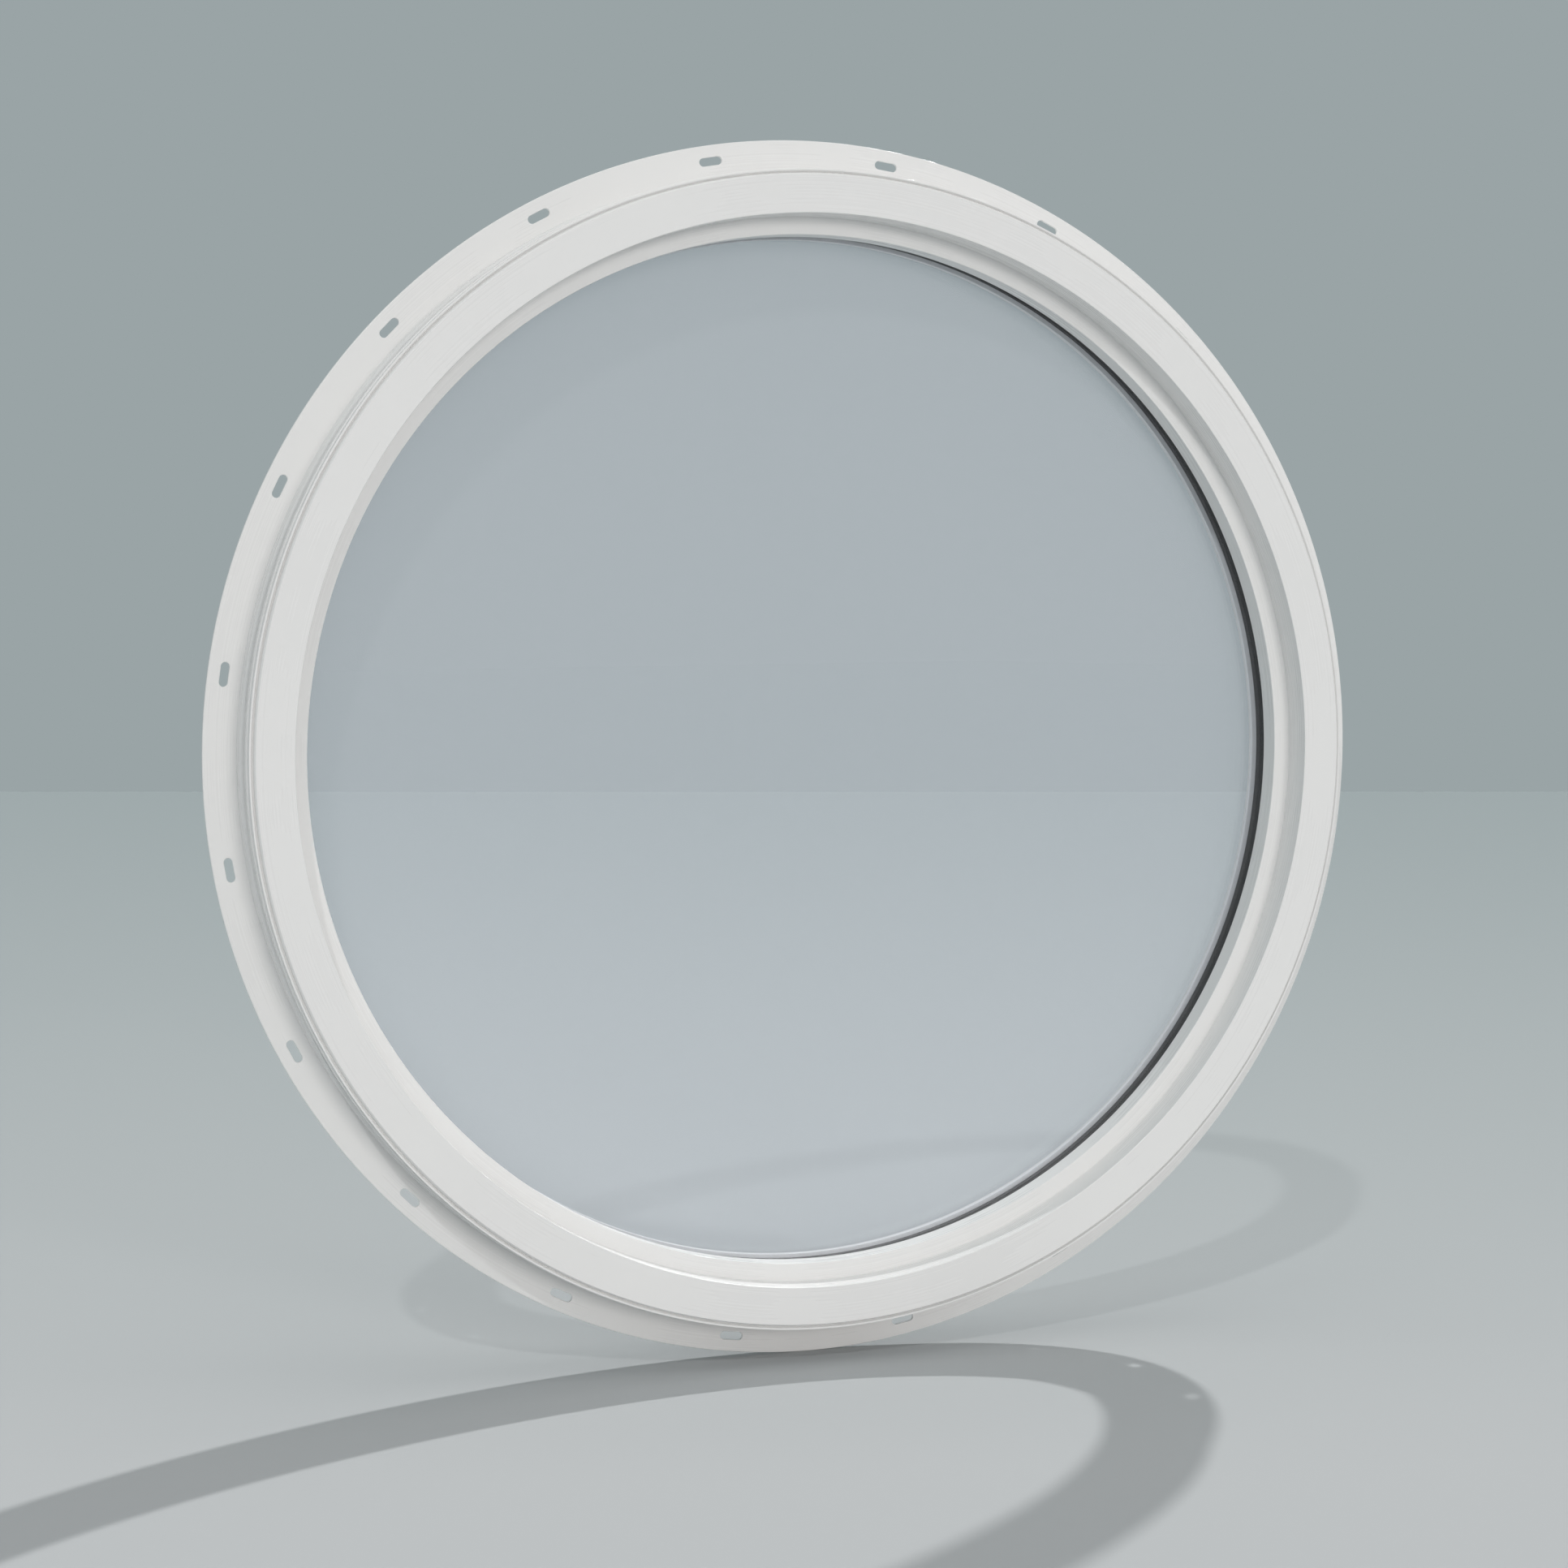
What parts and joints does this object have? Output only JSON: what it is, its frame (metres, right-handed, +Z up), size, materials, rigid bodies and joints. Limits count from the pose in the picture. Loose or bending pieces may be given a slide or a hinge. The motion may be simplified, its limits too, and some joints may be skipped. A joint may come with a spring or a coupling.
{
  "type": "round fixed window",
  "caption": "Round fixed window: a white vinyl ring frame with an integral slotted nailing fin, glazed with a sealed double pane unit behind a snap-in interior bead.",
  "frame": {"origin": "on the window's axis, in the plane of the nailing fin's back face, which lies on the wall", "axes": "+Y along the axis from the exterior to the interior, +Z up with the setting blocks at the bottom, +X to the right as seen from the exterior"},
  "size_m": [0.6478, 0.0635, 0.6478],
  "materials": {
    "vinyl": "satin white rigid vinyl",
    "clear_glass": "clear float glass with a faint blue-grey tone",
    "spacer_black": "matt black",
    "sealant_black": "dull black butyl",
    "foam_tape": "dull black closed-cell foam",
    "block_rubber": "dull dark grey rubber",
    "pale_seal": "satin pale grey flexible vinyl"
  },
  "bodies": {
    "root": {"frame": "vinyl", "glazing_tape": "foam_tape", "outer_pane": "clear_glass", "spacer": "spacer_black", "edge_sealant": "sealant_black", "inner_pane": "clear_glass", "setting_blocks": "block_rubber", "edge_blocks": "block_rubber", "bead_seal": "pale_seal", "glazing_bead": "vinyl"}
  },
  "joints": []
}
